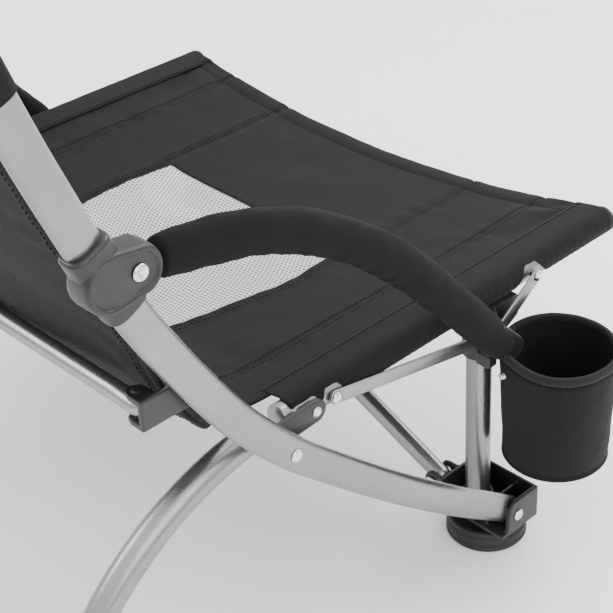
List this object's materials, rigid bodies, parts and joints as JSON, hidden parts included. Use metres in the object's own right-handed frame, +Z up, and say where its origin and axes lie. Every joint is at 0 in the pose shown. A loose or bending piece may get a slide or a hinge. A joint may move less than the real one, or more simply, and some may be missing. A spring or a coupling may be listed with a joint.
{
  "type": "camp rocking chair",
  "caption": "Low folding camp rocking chair: silver tube frame, black sling seat with mesh panel, padded arms, cup holder, swivelling front pads and sprung rear legs.",
  "frame": {"origin": "centre of the bounding box, on the ground", "axes": "+Z up, the sitter faces -Y, the sitter's right hand is at -X"},
  "size_m": [0.7174, 0.6948, 0.8061],
  "materials": {
    "silver_tube": "satin silver powder coat",
    "rivet_steel": "bright domed",
    "moulded_plastic": "fine-grained charcoal",
    "pad_rubber": "matt charcoal",
    "sling_fabric": "plain-weave black polyester",
    "sling_mesh": "light grey spacer mesh",
    "cup_fabric": "coarse coated black weave",
    "arm_cover": "black knitted sleeve over foam"
  },
  "bodies": {
    "right_side": {"right_foot_bracket": "moulded_plastic", "right_foot_pin": "rivet_steel", "right_front_post": "silver_tube", "right_post_knuckle": "moulded_plastic", "right_rear_bar": "silver_tube", "right_front_bar": "silver_tube", "right_seat_tube": "silver_tube", "right_front_cap": "moulded_plastic", "right_hinge_plate": "silver_tube", "right_rear_bar_rivet": "rivet_steel", "right_front_bar_rivet": "rivet_steel", "right_knuckle_rivet": "rivet_steel", "right_back_tube": "silver_tube", "right_top_cap": "moulded_plastic", "right_scissor_rivet": "rivet_steel", "right_arm_joint": "moulded_plastic", "right_arm_rivet": "rivet_steel", "right_arm_tube": "silver_tube", "right_arm_sleeve": "arm_cover", "right_arm_socket": "moulded_plastic", "right_brace_pin": "rivet_steel", "right_spreader_lug": "moulded_plastic", "right_side_sleeve": "sling_fabric", "seat_panel": "sling_fabric", "back_panel": "sling_fabric", "cup_holder": "cup_fabric"},
    "left_side": {"left_foot_bracket": "moulded_plastic", "left_foot_pin": "rivet_steel", "left_front_post": "silver_tube", "left_post_knuckle": "moulded_plastic", "left_rear_bar": "silver_tube", "left_front_bar": "silver_tube", "left_seat_tube": "silver_tube", "left_front_cap": "moulded_plastic", "left_hinge_plate": "silver_tube", "left_rear_bar_rivet": "rivet_steel", "left_front_bar_rivet": "rivet_steel", "left_knuckle_rivet": "rivet_steel", "left_back_tube": "silver_tube", "left_top_cap": "moulded_plastic", "left_scissor_rivet": "rivet_steel", "left_arm_joint": "moulded_plastic", "left_arm_rivet": "rivet_steel", "left_arm_tube": "silver_tube", "left_arm_sleeve": "arm_cover", "left_arm_socket": "moulded_plastic", "left_brace_pin": "rivet_steel", "left_spreader_lug": "moulded_plastic", "left_side_sleeve": "sling_fabric"},
    "right_pad": {"right_foot_pad": "pad_rubber"},
    "right_leg": {"right_rear_leg": "silver_tube", "right_rear_foot": "pad_rubber"},
    "right_brace": {"right_front_brace": "silver_tube"},
    "right_spreader_half": {"right_spreader": "silver_tube"},
    "left_pad": {"left_foot_pad": "pad_rubber"},
    "left_leg": {"left_rear_leg": "silver_tube", "left_rear_foot": "pad_rubber"},
    "left_brace": {"left_front_brace": "silver_tube"},
    "left_spreader_half": {"left_spreader": "silver_tube"}
  },
  "joints": [
    {"name": "width_fold", "type": "slide", "parent": "right_side", "child": "left_side", "axis": [-1, 0, 0], "range_m": [0, 0.4], "deforming": ["seat_panel", "back_panel"]},
    {"name": "right_brace_fold", "type": "hinge", "parent": "right_side", "child": "right_brace", "pos_m": [-0.21675, -0.16436, 0.05], "axis": [0, -1, 0], "range_deg": [0, 57]},
    {"name": "right_spreader_fold", "type": "hinge", "parent": "right_side", "child": "right_spreader_half", "pos_m": [-0.26275, 0.18564, 0.334], "axis": [0, 0, 1], "range_deg": [0, 73]},
    {"name": "left_brace_fold", "type": "hinge", "parent": "left_side", "child": "left_brace", "pos_m": [0.27525, -0.18636, 0.05], "axis": [0, 1, 0], "range_deg": [0, 57]},
    {"name": "left_spreader_fold", "type": "hinge", "parent": "left_side", "child": "left_spreader_half", "pos_m": [0.32125, 0.18564, 0.334], "axis": [0, 0, -1], "range_deg": [0, 73]},
    {"name": "rock", "type": "hinge", "parent": "right_side", "child": "right_leg", "pos_m": [-0.25075, 0.07564, 0.252], "axis": [1, 0, 0], "range_deg": [-7, 7], "stiffness_Nm_per_rad": 500},
    {"name": "right_pad_swivel", "type": "hinge", "parent": "right_side", "child": "right_pad", "pos_m": [-0.25675, -0.18136, 0.02], "axis": [1, 0, 0], "range_deg": [-4, 4]},
    {"name": "left_leg_rock", "type": "hinge", "parent": "left_side", "child": "left_leg", "pos_m": [0.30925, 0.07564, 0.252], "axis": [1, 0, 0], "range_deg": [-7, 7], "stiffness_Nm_per_rad": 500},
    {"name": "left_pad_swivel", "type": "hinge", "parent": "left_side", "child": "left_pad", "pos_m": [0.31525, -0.18136, 0.02], "axis": [1, 0, 0], "range_deg": [-4, 4]}
  ],
  "couplings": [
    {"joint": "right_brace_fold", "follows": "width_fold", "rad_per_m": 2.4469},
    {"joint": "right_spreader_fold", "follows": "width_fold", "rad_per_m": 3.1257},
    {"joint": "left_brace_fold", "follows": "width_fold", "rad_per_m": 2.4469},
    {"joint": "left_spreader_fold", "follows": "width_fold", "rad_per_m": 3.1257},
    {"joint": "left_leg_rock", "follows": "rock", "ratio": 1},
    {"joint": "right_pad_swivel", "follows": "rock", "ratio": 0.491},
    {"joint": "left_pad_swivel", "follows": "rock", "ratio": 0.491}
  ]
}
